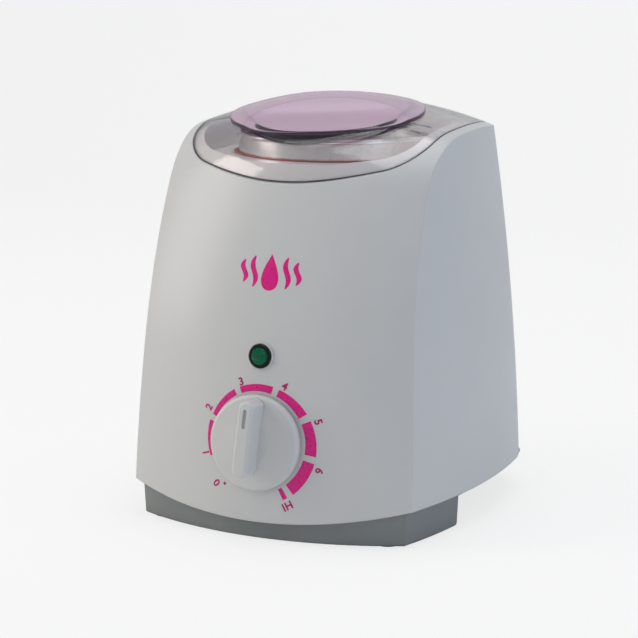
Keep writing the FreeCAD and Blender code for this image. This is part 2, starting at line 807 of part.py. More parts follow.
def base_solid(tag, inset, floor_drop, top):
    """Base as one closed block: front foot, rear foot and the flared pan above them."""
    low = D["base_bottom"] + floor_drop
    pan_low = D["pan_z"] + floor_drop
    front = D["foot_front"] - inset
    side = D["foot_side"] - inset
    foot_height = top - low
    foot_front = (front - 0.8, front)
    foot_side = (side - 0.8, side)
    foot = tapered_plan("foot" + tag, low, foot_height, foot_front, foot_side, (170.0, 170.0))
    foot_depth = 70.0 - inset
    half_depth = foot_depth * 0.5
    keep = box("foot_keep" + tag, Size(300.0, "300"), foot_depth, Size(60.0, "60"))
    keep = place(keep, 0.0, D["foot_rear_y"] - inset - half_depth, 0.0)
    foot = common("foot_block" + tag, foot, keep)

    def at_rear_corner(edge):
        return edge.BoundBox.ZLength > 4 and edge.BoundBox.YMin > -30

    foot = rounded("foot_round" + tag, foot, 5.0 - number(inset), at_rear_corner)
    rear_width = (D["rear_foot_x"] - inset) * 2.0
    rear_depth = D["rear_foot_depth"] - inset * 2.0
    rear = box("rear_foot" + tag, rear_width, rear_depth, top - 4.0 - low)
    rear = place(rear, 0.0, D["rear_foot_front"] + D["rear_foot_depth"] * 0.5, low)
    rear = rounded("rear_foot_round" + tag, rear, 9.0 - number(inset), upright_edge)
    outer_side = D["side_low"] - 1.9 - inset
    outer_rear = D["rear_low"] - 1.9 - inset
    flare = D["pan_inset"]
    rear_pair = (outer_rear - flare, outer_rear)
    side_pair = (outer_side - flare, outer_side)
    pan = tapered_plan("pan" + tag, pan_low, top - pan_low, (front, front), side_pair, rear_pair)

    def pan_corner(edge):
        return edge.BoundBox.ZLength > 2 and edge.CenterOfMass.y > 30

    pan = rounded("pan_round" + tag, pan, 38.0 - number(inset), pan_corner)
    return fuse("base_block" + tag, pan, foot, rear)


def make_base():
    """Grey base tray with its feet, screw posts, vent slots, pads and screws."""
    outer = base_solid("_outer", ZERO, ZERO, D["pan_top"])

    def bottom_edge(edge):
        return edge.BoundBox.ZMax < 1.2

    outer = rounded("base_soft", outer, 1.2, bottom_edge)
    inner = base_solid("_inner", D["base_wall"], D["base_wall"], D["pan_top"] + 4.0)
    tray = cut("tray", outer, inner)
    posts = []
    bores = []
    screws = []
    for hand in (1, -1):
        for (x, y), low in zip(screw_places(), (D["base_bottom"], D["pan_z"])):
            shelf = 12.0 if low is D["base_bottom"] else 15.6
            posts.append(place(cylinder("post", 5.8, D["pan_top"] - low), x * hand, y, low))
            recess = cylinder("counterbore", 4.1, shelf - low.value + 1.0)
            bores.append(place(recess, x * hand, y, low - 1.0))
            bores.append(place(cylinder("clearance", 2.3, 20.0), x * hand, y, low))
            head = place(cylinder("base_screw_head", 3.6, 2.0), x * hand, y, shelf - 2.0)
            shank = place(cylinder("base_screw_shank", 1.6, 20.0), x * hand, y, shelf - 1.0)
            screws.append(fuse("base_screw", head, shank))
    tray = cut("tray_bored", fuse("tray_posts", tray, *posts), *bores)
    pads = []
    recesses = []
    for x, y in ((60.0, -57.6), (34.0, 67.4)):
        for hand in (1, -1):
            recess = cylinder("pad_recess", D["pad_radius"] + 0.1, D["pad_height"] - D["base_bottom"] + 0.1)
            recesses.append(place(recess, x * hand, y, D["base_bottom"]))
            pads.append(place(cylinder("pad", D["pad_radius"], D["pad_height"]), x * hand, y, 0.0))
    slots = []
    for i in range(7):
        slot = box("vent_slot", Size(3.2, "3.2"), Size(34.0, "34"), Size(12.0, "12"))
        slots.append(place(slot, (i - 3) * 9.0, 13.4, 10.0))
    block_screws = [(x, D["block_y"].value) for x in (-14.0, 14.0)]
    tapped = [place(cylinder("block_tapped", 1.6, 6.0), x, y, 12.0) for x, y in block_screws]
    node("base_tray", cut("base", tray, *recesses, *slots, *tapped))
    node("rubber_feet", group("pads", pads))
    node("base_screws", group("base_screw_set", screws))


# ---------------------------------------------------------------- controls and wiring

def make_dial():
    """Knob with a bar grip on the thermostat's shaft, and the thermostat behind the panel."""
    z = D["dial_z"]
    rim = D["knob_radius"]
    bore = D["shaft_radius"]
    corners = [
        (bore, 1.5),
        (6.5, 1.5),
        (6.5, 4.4),
        (rim - 2.2, 2.7),
        (rim - 1.7, 0.9),
        (rim, 0.9),
        (rim, 2.8),
        (rim - 1.6, 4.4),
        (9.0, 6.4),
        (bore, 6.8),
    ]
    disc = turned("knob_disc", corners, {6: Size(2.6, "2.6")})
    half = D["bar_half"]
    low = D["bar_low"]
    high = D["bar_high"]
    bar_corners = [(-1 * half, low), (half, low), (half, high), (-1 * half, high)]
    bar = padded("knob_bar", bar_corners, D["bar_height"], {0: Size(4.0, "4"), 2: Size(4.4, "4.4")})
    place(bar, 0.0, 0.0, 5.4)

    def top_edge(edge):
        return edge.BoundBox.ZMin > 16.8

    bar = rounded("knob_bar_soft", bar, 1.6, top_edge)
    bore_hole = place(cylinder("knob_bore", bore, 12.0), 0.0, 0.0, 1.0)
    slot_low = D["slot_low"]
    slot_high = D["slot_high"]
    slot_corners = [(-0.9, slot_low), (0.9, slot_low), (0.9, slot_high), (-0.9, slot_high)]
    slot = padded("pointer_slot", slot_corners, Size(3.0, "3"), {0: Size(1.0, "1"), 2: Size(1.0, "1")})
    place(slot, 0.0, 0.0, 16.2)
    knob = cut("knob_cut", fuse("knob_whole", disc, bar), bore_hole, slot)
    spin = -D["knob_turn"].value
    node("knob_cap", on_panel(knob, z, spin=spin))
    insert = padded("pointer", slot_corners, Size(0.5, "0.5"), {0: Size(1.0, "1"), 2: Size(1.0, "1")})
    insert.Placement = knob.Placement * Placement(Vector(0, 0, 16.2), Rotation())
    node("knob_pointer", insert)
    node("knob_shaft", on_panel(cylinder("shaft", bore, 24.6), z, -12.0, spin=spin))
    case = box("thermostat_case", Size(27.0, "27"), Size(27.0, "27"), Size(17.0, "17"))
    case = on_panel(case, z, -21.0)
    plate = on_panel(box("thermostat_plate", Size(36.0, "36"), Size(16.0, "16"), Size(1.2, "1.2")), z, -5.0)
    bush = on_panel(cylinder("thermostat_bush", 4.7, 6.0), z, -5.0)
    bush_bore = on_panel(cylinder("thermostat_bore", bore + D["running_fit"], 13.9), z, -12.5)
    taps = [on_panel(cylinder("thermostat_tap", 2.0, 6.0), z, -7.0, across) for across in (-14.0, 14.0)]
    whole = fuse("thermostat_whole", case, plate, bush)
    node("thermostat_body", cut("thermostat", whole, bush_bore, *taps))
    screws = []
    for across in (-14.0, 14.0):
        head = on_panel(cylinder("dial_screw_head", 3.6, 1.9), z, 0.15, across)
        shank = on_panel(cylinder("dial_screw_shank", 1.9, 6.4), z, -5.6, across)
        screws.append(fuse("dial_screw", head, shank))
    node("dial_screws", group("dial_screw_set", screws))


def make_lamp():
    """Green indicator lens in a black bezel with a white collar, lamp body and spring nut behind."""
    z = D["lamp_z"]
    bezel_outer = D["bezel_radius"]
    lens_outer = D["lens_radius"]
    gap = 0.05
    bezel = [
        (lens_outer + gap, -14.0),
        (4.4, -14.0),
        (4.4, 0.2),
        (bezel_outer, 0.2),
        (bezel_outer, 1.2),
        (bezel_outer - 0.7, 1.9),
        (lens_outer + gap, 1.9),
    ]
    node("lamp_bezel", on_panel(turned("bezel", bezel), z))
    lens = [(0.0, -6.0), (lens_outer, -6.0), (lens_outer, 1.6), (2.4, 2.6), (1.1, 3.0), (0.0, 3.0)]
    node("lamp_lens", on_panel(turned("lens", lens), z))
    collar = [(bezel_outer + gap, 0.0), (6.9, 0.0), (6.9, 0.5), (6.6, 0.8), (bezel_outer + gap, 0.8)]
    node("lamp_collar", on_panel(turned("collar", collar), z))
    body = on_panel(cylinder("lamp_capsule", lens_outer - 0.2, 16.0), z, -22.2)
    blades = [
        on_panel(box("lamp_blade", Size(2.8, "2.8"), Size(0.8, "0.8"), Size(7.0, "7")), z, -29.0, 0.0, up)
        for up in (-1.8, 1.8)
    ]
    node("lamp_body", fuse("lamp", body, *blades))
    nut = [(4.45, -4.6), (7.2, -4.6), (7.2, -3.8), (4.45, -3.4)]
    node("lamp_nut", on_panel(turned("spring_nut", nut), z))


def make_supply():
    """Mains inlet in the rear wall, terminal block on the base and the leads between them."""
    z = D["inlet_z"]
    y_face = D["inlet_y"]
    flange = box("inlet_flange", Size(36.0, "36"), Size(0.9, "0.9"), Size(20.0, "20"))
    place(flange, 0.0, y_face, z - 10.0)
    body = box("inlet_body", Size(22.0, "22"), Size(19.0, "19"), Size(16.0, "16"))
    place(body, 0.0, y_face - 9.4, z - 8.0)
    backwards = Rotation(Vector(1, 0, 0), 90)
    web = box("inlet_socket_web", Size(8.8, "8.8"), Size(14.0, "14"), Size(6.4, "6.4"))
    place(web, 0.0, y_face - 5.0, z - 3.2)
    hollows = [web] + inlet_bores("inlet_hole", 1.6)
    pins = []
    screws = []
    for hand in (1, -1):
        hollows.append(place(cylinder("inlet_socket", 4.3, 14.0), 4.4 * hand, y_face + 2.0, z, backwards))
        hollows.append(place(cylinder("pin_bore", 1.2, 40.0), 4.3 * hand, y_face, z, backwards))
        pins.append(place(cylinder("inlet_pin", 1.2, 27.0), 4.3 * hand, y_face - 3.0, z, backwards))
        shank = place(cylinder("inlet_shank", 1.3, 8.0), 14.6 * hand, y_face + 0.7, z, backwards)
        head = place(cylinder("inlet_head", 2.5, 0.5), 14.6 * hand, y_face + 0.95, z, backwards)
        screws.append(fuse("inlet_screw", shank, head))
    node("mains_inlet", cut("inlet", fuse("inlet_whole", flange, body), *hollows))
    node("inlet_pins", group("inlet_pin_set", pins))
    node("inlet_screws", group("inlet_screw_set", screws))
    make_terminal_block()


def make_terminal_block():
    y = D["block_y"]
    low = D["pan_z"] + D["base_wall"] + 0.1
    block = place(box("block", Size(38.0, "38"), Size(16.0, "16"), Size(13.0, "13")), 0.0, y, low)
    wells = [place(cylinder("block_well", 2.4, 8.0), x, y, low + 7.0) for x in (-7.0, 0.0, 7.0)]
    holes = [place(cylinder("block_hole", 1.7, 30.0), x, y, low - 1.0) for x in (-14.0, 14.0)]
    node("terminal_block", cut("block_done", block, *wells, *holes))
    screws = []
    for x in (-14.0, 14.0):
        head = place(cylinder("block_head", 2.8, 1.8), x, y, low + 13.1)
        shank = place(cylinder("block_shank", 1.5, 15.0), x, y, low + 13.5 - 15.0)
        screws.append(fuse("block_screw", head, shank))
    screws += [place(cylinder("clamp_screw", 2.2, 1.6), x, y, low + 7.2) for x in (-7.0, 0.0, 7.0)]
    node("block_screws", group("block_screw_set", screws))


def lead(name, points, radius, bend):
    """Insulated lead along straight runs joined by tangent arcs."""
    edges = []
    start = points[0]
    for before, corner, after in zip(points, points[1:], points[2:]):
        into = (corner - before).normalize()
        out = (after - corner).normalize()
        turn = into.getAngle(out)
        reach = bend * sin(turn / 2) / cos(turn / 2)
        first = corner - into * reach
        last = corner + out * reach
        bisector = (out - into).normalize()
        depth = bend / cos(turn / 2) - bend
        edges.append(Part.LineSegment(start, first).toShape())
        edges.append(Part.Arc(first, corner + bisector * depth, last).toShape())
        start = last
    edges.append(Part.LineSegment(start, points[-1]).toShape())
    path = Part.Wire(edges)
    circle = Part.Circle(points[0], points[1] - points[0], radius)
    obj = DOC.addObject("Part::Feature", name)
    obj.Shape = path.makePipeShell([Part.Wire([circle.toShape()])], True, True)
    return obj


def make_leads():
    """Three insulated leads and the thermostat's capillary with its phial under the well."""
    block_y = D["block_y"].value
    inlet_z = D["inlet_z"].value
    pin_end = D["inlet_y"].value - 30.8
    rear = block_y + 9.8
    front = block_y - 8.9
    supply = [(-4.3, pin_end, inlet_z), (-4.3, 49.4, inlet_z), (-7.0, rear + 2.2, 30.0), (-7.0, rear, 22.0)]
    switched = [(7.0, front, 22.0), (7.0, front - 15.1, 24.0), (9.0, -38.6, 40.0), (9.0, -53.6, 42.0)]
    limited = [(-8.0, -53.6, 46.0), (-8.0, -36.6, 50.0), (-14.0, 19.4, 70.0), (-2.6, 19.4, 83.7)]
    routes = (supply, switched, limited)
    leads = [lead("lead", [Vector(*point) for point in route], 1.1, 5.0) for route in routes]
    node("wiring_leads", group("lead_set", leads))
    tail = [(0.0, -54.6, 57.0), (0.0, -32.6, 62.0), (-22.0, -22.6, 78.0), (-30.0, -10.6, 81.8)]
    capillary = lead("capillary", [Vector(*point) for point in tail], 0.7, 5.0)
    phial = place(cylinder("phial", 2.6, 50.0), -30.0, -11.6, 82.6, Rotation(Vector(1, 0, 0), -90))
    node("sensor_phial", fuse("sensor", capillary, phial))


def export_nodes():
    """Check every object and write each piece to its own STEP file."""
    DOC.recompute()
    broken = [obj.Name for obj in DOC.Objects if "Invalid" in obj.State or "Error" in obj.State]
    if broken:
        raise RuntimeError("objects failed: " + ", ".join(broken))
    os.makedirs("parts", exist_ok=True)
    for label, obj in sorted(NODES.items()):
        shape = obj.Shape
        if shape.isNull() or not shape.isValid() or not shape.Solids:
            raise RuntimeError("bad shape: " + label)
        shape.exportStep("parts/%s.step" % label)
        bounds = shape.optimalBoundingBox()
        low = "%.1f %.1f %.1f" % (bounds.XMin, bounds.YMin, bounds.ZMin)
        high = "%.1f %.1f %.1f" % (bounds.XMax, bounds.YMax, bounds.ZMax)
        print("%-16s %d solids %10.0f mm3  %s to %s" % (label, len(shape.Solids), shape.Volume, low, high))


def main():
    make_skins()
    make_pot()
    make_well()
    make_base()
    make_dial()
    make_lamp()
    make_supply()
    make_leads()
    export_nodes()


main()
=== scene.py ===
"""Looks of the wax warmer pot: finishes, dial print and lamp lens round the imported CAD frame."""

import json
import math

import bmesh
import bpy
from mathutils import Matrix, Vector
from mathutils.bvhtree import BVHTree


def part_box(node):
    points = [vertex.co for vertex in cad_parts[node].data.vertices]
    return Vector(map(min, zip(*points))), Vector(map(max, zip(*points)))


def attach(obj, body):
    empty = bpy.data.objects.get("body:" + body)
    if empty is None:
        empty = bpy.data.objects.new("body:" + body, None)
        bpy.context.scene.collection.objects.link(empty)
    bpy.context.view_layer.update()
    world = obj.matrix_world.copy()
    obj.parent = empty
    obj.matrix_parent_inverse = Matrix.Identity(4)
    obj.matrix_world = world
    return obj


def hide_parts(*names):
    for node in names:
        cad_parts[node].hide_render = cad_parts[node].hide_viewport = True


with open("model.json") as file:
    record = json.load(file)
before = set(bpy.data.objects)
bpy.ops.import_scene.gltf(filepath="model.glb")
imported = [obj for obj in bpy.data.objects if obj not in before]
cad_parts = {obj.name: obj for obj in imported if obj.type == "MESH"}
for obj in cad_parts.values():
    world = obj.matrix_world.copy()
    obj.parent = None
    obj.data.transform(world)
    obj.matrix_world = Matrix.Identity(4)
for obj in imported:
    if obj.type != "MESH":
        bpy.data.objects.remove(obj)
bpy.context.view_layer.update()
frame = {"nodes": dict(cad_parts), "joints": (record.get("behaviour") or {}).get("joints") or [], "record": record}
NODES = frame["nodes"]
SLOT_OF = {row["node"]: row["material_slot"] for row in frame["record"]["subparts"]}
FINISH = {row["slot"]: row for row in frame["record"]["materials"]}
MM = 0.001
UPRIGHT_TILT = (0.084, 0.12)      # height part of a normal: upright up to the first, not from the second
RIM_SHADE_COVER = 0.88                  # how much of a cut rim and edge band is solid dark tint, partly the plastic's real tint and partly painted shade, the rest being clear
EDGE_AGREEMENT = (0.90, 0.99)     # rounded normal against true normal: at an edge, and clear of it


# ---------------------------------------------------------------- shader building

class Shader:
    """One node material, with short calls for the patterns that the finishes are made of."""

    def __init__(self, name):
        self.material = bpy.data.materials.new(name)
        self.material.use_nodes = True
        self.tree = self.material.node_tree
        self.tree.nodes.clear()
        self.output = self.add("ShaderNodeOutputMaterial")
        self.place = self.add("ShaderNodeTexCoord").outputs["Object"]

    def add(self, kind, **settings):
        made = self.tree.nodes.new(kind)
        for key, value in settings.items():
            setattr(made, key, value)
        return made

    def join(self, source, target):
        self.tree.links.new(source, target)

    def feed(self, socket, value):
        """Sets an input to a number or colour, or links it to another node's output."""
        if isinstance(value, bpy.types.NodeSocket):
            self.join(value, socket)
        else:
            socket.default_value = value

    def plastic(self, **inputs):
        """A Principled shader with the named inputs, and the material's surface."""
        made = self.add("ShaderNodeBsdfPrincipled")
        for key, value in inputs.items():
            self.feed(made.inputs[key.replace("_", " ")], value)
        self.join(made.outputs["BSDF"], self.output.inputs["Surface"])
        return made

    def stretched(self, factors):
        """Object coordinates scaled by a factor along each axis."""
        made = self.add("ShaderNodeMapping")
        made.inputs["Scale"].default_value = factors
        self.join(self.place, made.inputs["Vector"])
        return made.outputs["Vector"]

    def noise(self, size_mm, detail=3.0, rough=0.55, along=None):
        """Noise whose features are about size_mm across."""
        made = self.add("ShaderNodeTexNoise")
        made.inputs["Scale"].default_value = 1000.0 / size_mm
        made.inputs["Detail"].default_value = detail
        made.inputs["Roughness"].default_value = rough
        self.join(along or self.place, made.inputs["Vector"])
        return made.outputs["Fac"]

    def ramp(self, value, low, high, start=0.3, end=0.7):
        """Value mapped from start-end to low-high."""
        made = self.add("ShaderNodeMapRange")
        self.join(value, made.inputs["Value"])
        made.inputs["From Min"].default_value = start
        made.inputs["From Max"].default_value = end
        made.inputs["To Min"].default_value = low
        made.inputs["To Max"].default_value = high
        return made.outputs["Result"]

    def mixed(self, share, first, second):
        """A colour between two, by a share that may be a node's output."""
        made = self.add("ShaderNodeMix", data_type="RGBA")
        self.feed(made.inputs["Factor"], share)
        self.feed(made.inputs["A"], first)
        self.feed(made.inputs["B"], second)
        return made.outputs["Result"]

    def maths(self, operation, first, second=0.0):
        """The result of a Math node on numbers or other nodes' outputs."""
        made = self.add("ShaderNodeMath", operation=operation)
        self.feed(made.inputs[0], first)
        self.feed(made.inputs[1], second)
        return made.outputs["Value"]

    def bump(self, height, depth_mm, strength=1.0, over=None):
        """Normals of a surface raised by height, on top of the normals given in over."""
        made = self.add("ShaderNodeBump")
        made.inputs["Strength"].default_value = strength
        made.inputs["Distance"].default_value = depth_mm * MM
        self.join(height, made.inputs["Height"])
        if over is not None:
            self.join(over, made.inputs["Normal"])
        return made.outputs["Normal"]

    def upright(self):
        """1 on faces that stand upright, such as a cut rim, and 0 on all others."""
        split = self.add("ShaderNodeSeparateXYZ")
        self.join(self.add("ShaderNodeNewGeometry").outputs["True Normal"], split.inputs[0])
        tilt = self.maths("ABSOLUTE", split.outputs["Z"])
        return self.ramp(tilt, 1.0, 0.0, *UPRIGHT_TILT)

    def near_edges(self, radius_mm):
        """1 close to a sharp edge and 0 away from it."""
        across = self.add("ShaderNodeVectorMath", operation="DOT_PRODUCT")
        self.join(self.soft_edges(radius_mm), across.inputs[0])
        self.join(self.add("ShaderNodeNewGeometry").outputs["Normal"], across.inputs[1])
        return self.ramp(across.outputs["Value"], 1.0, 0.0, *EDGE_AGREEMENT)

    def soft_edges(self, radius_mm):
        """Normals of the surface with its edges rounded to the radius."""
        made = self.add("ShaderNodeBevel", samples=4)
        made.inputs["Radius"].default_value = radius_mm * MM
        return made.outputs["Normal"]


def rgba(colour, factor=1.0):
    """Colour with full alpha, made lighter or darker by a factor."""
    return (colour[0] * factor, colour[1] * factor, colour[2] * factor, 1.0)


def moulded(name, colour, rough, texture_mm, depth_mm, coat=0.0, edge_mm=0.0, mottle=0.03,
            specular=0.5, swing=0.15):
    """Moulded plastic or rubber: faint mottling, uneven gloss, a surface texture and softened edges."""
    shader = Shader(name)
    cloud = shader.noise(38.0, 2.0)
    shade = shader.mixed(shader.ramp(cloud, 0.0, 1.0), rgba(colour, 1.0 + mottle), rgba(colour, 1.0 - mottle))
    gloss = shader.ramp(shader.noise(9.0, 4.0), rough * (1.0 - swing), rough * (1.0 + swing))
    edges = shader.soft_edges(edge_mm) if edge_mm else None
    grain = shader.bump(shader.noise(texture_mm, 2.0), depth_mm, 1.0, edges)
    shader.plastic(
        Base_Color=shade, Roughness=gloss, Normal=grain, Coat_Weight=coat, Coat_Roughness=0.06,
        Specular_IOR_Level=specular,
    )
    return shader.material


def metal(name, colour, rough, stretch, line_mm=0.5, depth_mm=0.01, stain=0.06):
    """Metal with drawn or brushed lines, a slow change of shade, and dull and bright patches."""
    shader = Shader(name)
    lines = shader.noise(line_mm, 3.0, 0.7, shader.stretched(stretch))
    cloud = shader.noise(14.0, 3.0)
    shade = shader.mixed(shader.ramp(cloud, 0.0, 1.0), rgba(colour, 1.0 + stain), rgba(colour, 1.0 - stain))
    patches = shader.ramp(cloud, rough * 0.85, rough * 1.2)
    gloss = shader.maths("ADD", shader.ramp(lines, -0.05, 0.07), patches)
    shader.plastic(
        Base_Color=shade, Metallic=1.0, Roughness=gloss, Normal=shader.bump(lines, depth_mm, 0.6),
    )
    return shader.material


def fibrous(name, colour):
    """Ceramic wool: matted fibres with loose tufts."""
    shader = Shader(name)
    fibres = shader.noise(1.2, 8.0, 0.75, shader.stretched((1.0, 1.0, 3.0)))
    tufts = shader.noise(9.0, 4.0)
    shade = shader.mixed(shader.ramp(fibres, 0.0, 1.0), rgba(colour, 1.05), rgba(colour, 0.72))
    soft = shader.bump(tufts, 1.2, 0.8, shader.bump(fibres, 0.4))
    shader.plastic(Base_Color=shade, Roughness=0.95, Normal=soft, Sheen_Weight=0.4)
    return shader.material


def clear(name, tint, edge_tint, rim_shade_tint, tint_depth, rough=0.03, haze=0.0,
          haze_colour=(0.8, 0.8, 0.8), edge_shade_mm=2.6, ior=1.49):
    """Clear moulded plastic: tints light, goes darker edge-on, and has cut rims and a band along its edges in a
    deep dark tint, partly the rim's real tint and partly painted shade of the dark line where the lid meets the
    body.
    """
    shader = Shader(name)
    weight = shader.add("ShaderNodeLayerWeight")
    weight.inputs["Blend"].default_value = 0.35
    turned_away = shader.maths("POWER", weight.outputs["Facing"], tint_depth)
    colour = shader.mixed(turned_away, rgba(tint), rgba(edge_tint))
    ripple = shader.bump(shader.noise(26.0, 1.0), 0.05, 0.5)
    gloss = shader.ramp(shader.noise(12.0, 4.0), rough * 0.5, rough * 1.6)
    glass = shader.add("ShaderNodeBsdfPrincipled")
    shader.feed(glass.inputs["Base Color"], colour)
    shader.feed(glass.inputs["Roughness"], gloss)
    shader.feed(glass.inputs["IOR"], ior)
    shader.feed(glass.inputs["Transmission Weight"], 1.0)
    shader.feed(glass.inputs["Normal"], ripple)
    body = shader.add("ShaderNodeBsdfPrincipled")
    # painted shade: cut rims and a band along sharp edges take the dark rim colour, partly the plastic's real deep
    # tint and partly the shadow line where the lid meets the body
    rim_and_edge_shade = shader.maths("MAXIMUM", shader.upright(), shader.near_edges(edge_shade_mm)) if edge_shade_mm else 0.0
    shader.feed(body.inputs["Base Color"], shader.mixed(rim_and_edge_shade, rgba(haze_colour), rgba(rim_shade_tint)))
    shader.feed(body.inputs["Roughness"], 0.25)
    shader.feed(body.inputs["IOR"], ior)
    shader.feed(body.inputs["Normal"], ripple)
    veil = shader.add("ShaderNodeMixShader")
    rim_shade_share = shader.maths("MULTIPLY", rim_and_edge_shade, RIM_SHADE_COVER)
    shader.feed(veil.inputs["Fac"], shader.maths("MAXIMUM", rim_shade_share, haze))
    shader.join(glass.outputs["BSDF"], veil.inputs[1])
    shader.join(body.outputs["BSDF"], veil.inputs[2])
    through = shader.add("ShaderNodeBsdfTransparent")
    shader.feed(through.inputs["Color"], rgba(tint, 0.97))
    path = shader.add("ShaderNodeLightPath")
    blend = shader.add("ShaderNodeMixShader")
    shader.join(path.outputs["Is Shadow Ray"], blend.inputs["Fac"])
    shader.join(veil.outputs["Shader"], blend.inputs[1])
    shader.join(through.outputs["BSDF"], blend.inputs[2])
    shader.join(blend.outputs["Shader"], shader.output.inputs["Surface"])
    return shader.material


def colour_of(slot):
    """The record's colour for a slot."""
    return FINISH[slot]["base_color"][:3]


# Colours matched to the photo; every other finish takes the record's colour.
SHELL = (0.70, 0.70, 0.69)
POINTER = (0.60, 0.60, 0.61)
STEEL = (0.88, 0.87, 0.85)
BASE = (0.255, 0.27, 0.265)
BEZEL = (0.009, 0.015, 0.012)
SEAL = (0.40, 0.085, 0.07)
LENS = (0.0, 0.36, 0.13)
LENS_EDGE = (0.0, 0.108, 0.039)
LENS_HAZE = (0.0, 0.18, 0.085)
SMOKE = (0.93, 0.915, 0.925)
SMOKE_EDGE = (0.40, 0.34, 0.43)
LILAC = (0.86, 0.74, 0.88)
LILAC_EDGE = (0.34, 0.22, 0.40)
LILAC_HAZE = (0.70, 0.53, 0.645)
# dark plum for the cut rims and edge bands of the lid and grip: partly real tint, partly painted shade
RIM_SHADE_PLUM = (0.022, 0.012, 0.030)

# Stretch of the brushing lines along each axis.
TURNED = (1.0, 1.0, 30.0)
SPUN = (1.0, 1.0, 22.0)
DRAWN = (1.0, 0.05, 1.0)


def make_finishes():
    """One material for each slot of the record."""
    return {
        "shell_white": moulded("shell_white", SHELL, 0.30, 1.1, 0.004, edge_mm=0.9, mottle=0.012, swing=0.05),
        "deck_white": moulded("deck_white", colour_of("deck_white"), 0.34, 0.9, 0.008,
                              coat=0.1, edge_mm=0.4, mottle=0.02),
        "knob_white": moulded("knob_white", SHELL, 0.30, 0.9, 0.004, edge_mm=0.45, mottle=0.012, swing=0.05),
        "base_grey": moulded("base_grey", BASE, 0.36, 0.5, 0.02, edge_mm=0.4, mottle=0.05),
        "foot_rubber": moulded("foot_rubber", colour_of("foot_rubber"), 0.8, 0.4, 0.05,
                               edge_mm=0.3, mottle=0.1, specular=0.3),
        "seal_red": moulded("seal_red", SEAL, 0.5, 0.6, 0.02, mottle=0.06),
        "pointer_grey": moulded("pointer_grey", POINTER, 0.5, 0.5, 0.02),
        "bezel_black": moulded("bezel_black", BEZEL, 0.3, 0.8, 0.006, edge_mm=0.15, specular=0.15),
        "bakelite": moulded("bakelite", colour_of("bakelite"), 0.38, 0.6, 0.02, edge_mm=0.3, mottle=0.15),
        "block_cream": moulded("block_cream", colour_of("block_cream"), 0.4, 0.7, 0.02,
                               edge_mm=0.3, mottle=0.04),
        "lead_grey": moulded("lead_grey", colour_of("lead_grey"), 0.55, 0.4, 0.02, mottle=0.1),
        "zinc_screw": metal("zinc_screw", colour_of("zinc_screw"), 0.26, TURNED, 0.3, stain=0.1),
        "well_aluminium": metal("well_aluminium", colour_of("well_aluminium"), 0.36, TURNED, 0.6, 0.02),
        "band_steel": metal("band_steel", colour_of("band_steel"), 0.3, TURNED),
        "fuse_can": metal("fuse_can", colour_of("fuse_can"), 0.22, DRAWN, 0.4),
        "copper": metal("copper", colour_of("copper"), 0.3, DRAWN, 0.4, stain=0.12),
        "shaft_steel": metal("shaft_steel", colour_of("shaft_steel"), 0.25, TURNED, 0.3),
        "pin_brass": metal("pin_brass", colour_of("pin_brass"), 0.24, DRAWN, 0.3),
        "pot_steel": metal("pot_steel", STEEL, 0.24, SPUN, 0.6, 0.006, stain=0.04),
        "wool": fibrous("wool", colour_of("wool")),
        "lens_green": clear("lens_green", LENS, LENS_EDGE, LENS, 1.0, 0.05,
                            haze=0.7, haze_colour=LENS_HAZE, edge_shade_mm=0.0, ior=1.33),
        # lid and grip: dark plum along cut rims and edges, partly painted shade
        "lid_clear": clear("lid_clear", SMOKE, SMOKE_EDGE, RIM_SHADE_PLUM, 3.0),
        "grip_lilac": clear("grip_lilac", LILAC, LILAC_EDGE, RIM_SHADE_PLUM, 3.0, 0.06,
                            haze=0.66, haze_colour=LILAC_HAZE, edge_shade_mm=1.2),
    }


finishes = make_finishes()
for name, node in NODES.items():
    node.data.materials.clear()
    node.data.materials.append(finishes[SLOT_OF[name]])


# ---------------------------------------------------------------- print on the front panel

dial_joint = next(joint for joint in frame["joints"] if joint["name"] == "dial_turn")
DIAL = Vector(dial_joint["pos_m"])
INTO = Vector(dial_joint["axis"]).normalized()
ACROSS = Vector((1.0, 0.0, 0.0))
UPWARD = ACROSS.cross(INTO).normalized()
FILM_PROUD = 0.05
RAY_START = 40.0
shell_tree = BVHTree.FromObject(NODES["body_shell"], bpy.context.evaluated_depsgraph_get())


def on_shell(x, z, proud=FILM_PROUD):
    """Point just proud of the front panel, x and z mm from the dial's centre in the dial's plane."""
    start = DIAL + ACROSS * x * MM + UPWARD * z * MM - INTO * RAY_START * MM
    hit, normal, _, _ = shell_tree.ray_cast(start, INTO)
    if normal.dot(INTO) > 0.0:
        normal = -normal
    return hit + normal * proud * MM


def ink(name, colour):
    """Screen-printed ink: a thin, slightly uneven glossy film."""
    shader = Shader(name)
    cover = shader.ramp(shader.noise(1.6, 5.0), 0.0, 1.0)
    shade = shader.mixed(cover, rgba(colour, 1.08), rgba(colour, 0.9))
    shader.plastic(
        Base_Color=shade, Roughness=shader.ramp(shader.noise(4.0), 0.24, 0.36),
        Normal=shader.bump(shader.noise(0.5, 2.0), 0.004),
    )
    return shader.material


pink_ink = ink("ink_pink", (0.86, 0.008, 0.26))
crimson_ink = ink("ink_crimson", (0.52, 0.006, 0.15))


def new_piece(name, mesh, material, body):
    """Adds a looks piece that rides on a body."""
    piece = bpy.data.objects.new(name, mesh)
    bpy.context.scene.collection.objects.link(piece)
    piece.data.materials.append(material)
    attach(piece, body)
    return piece


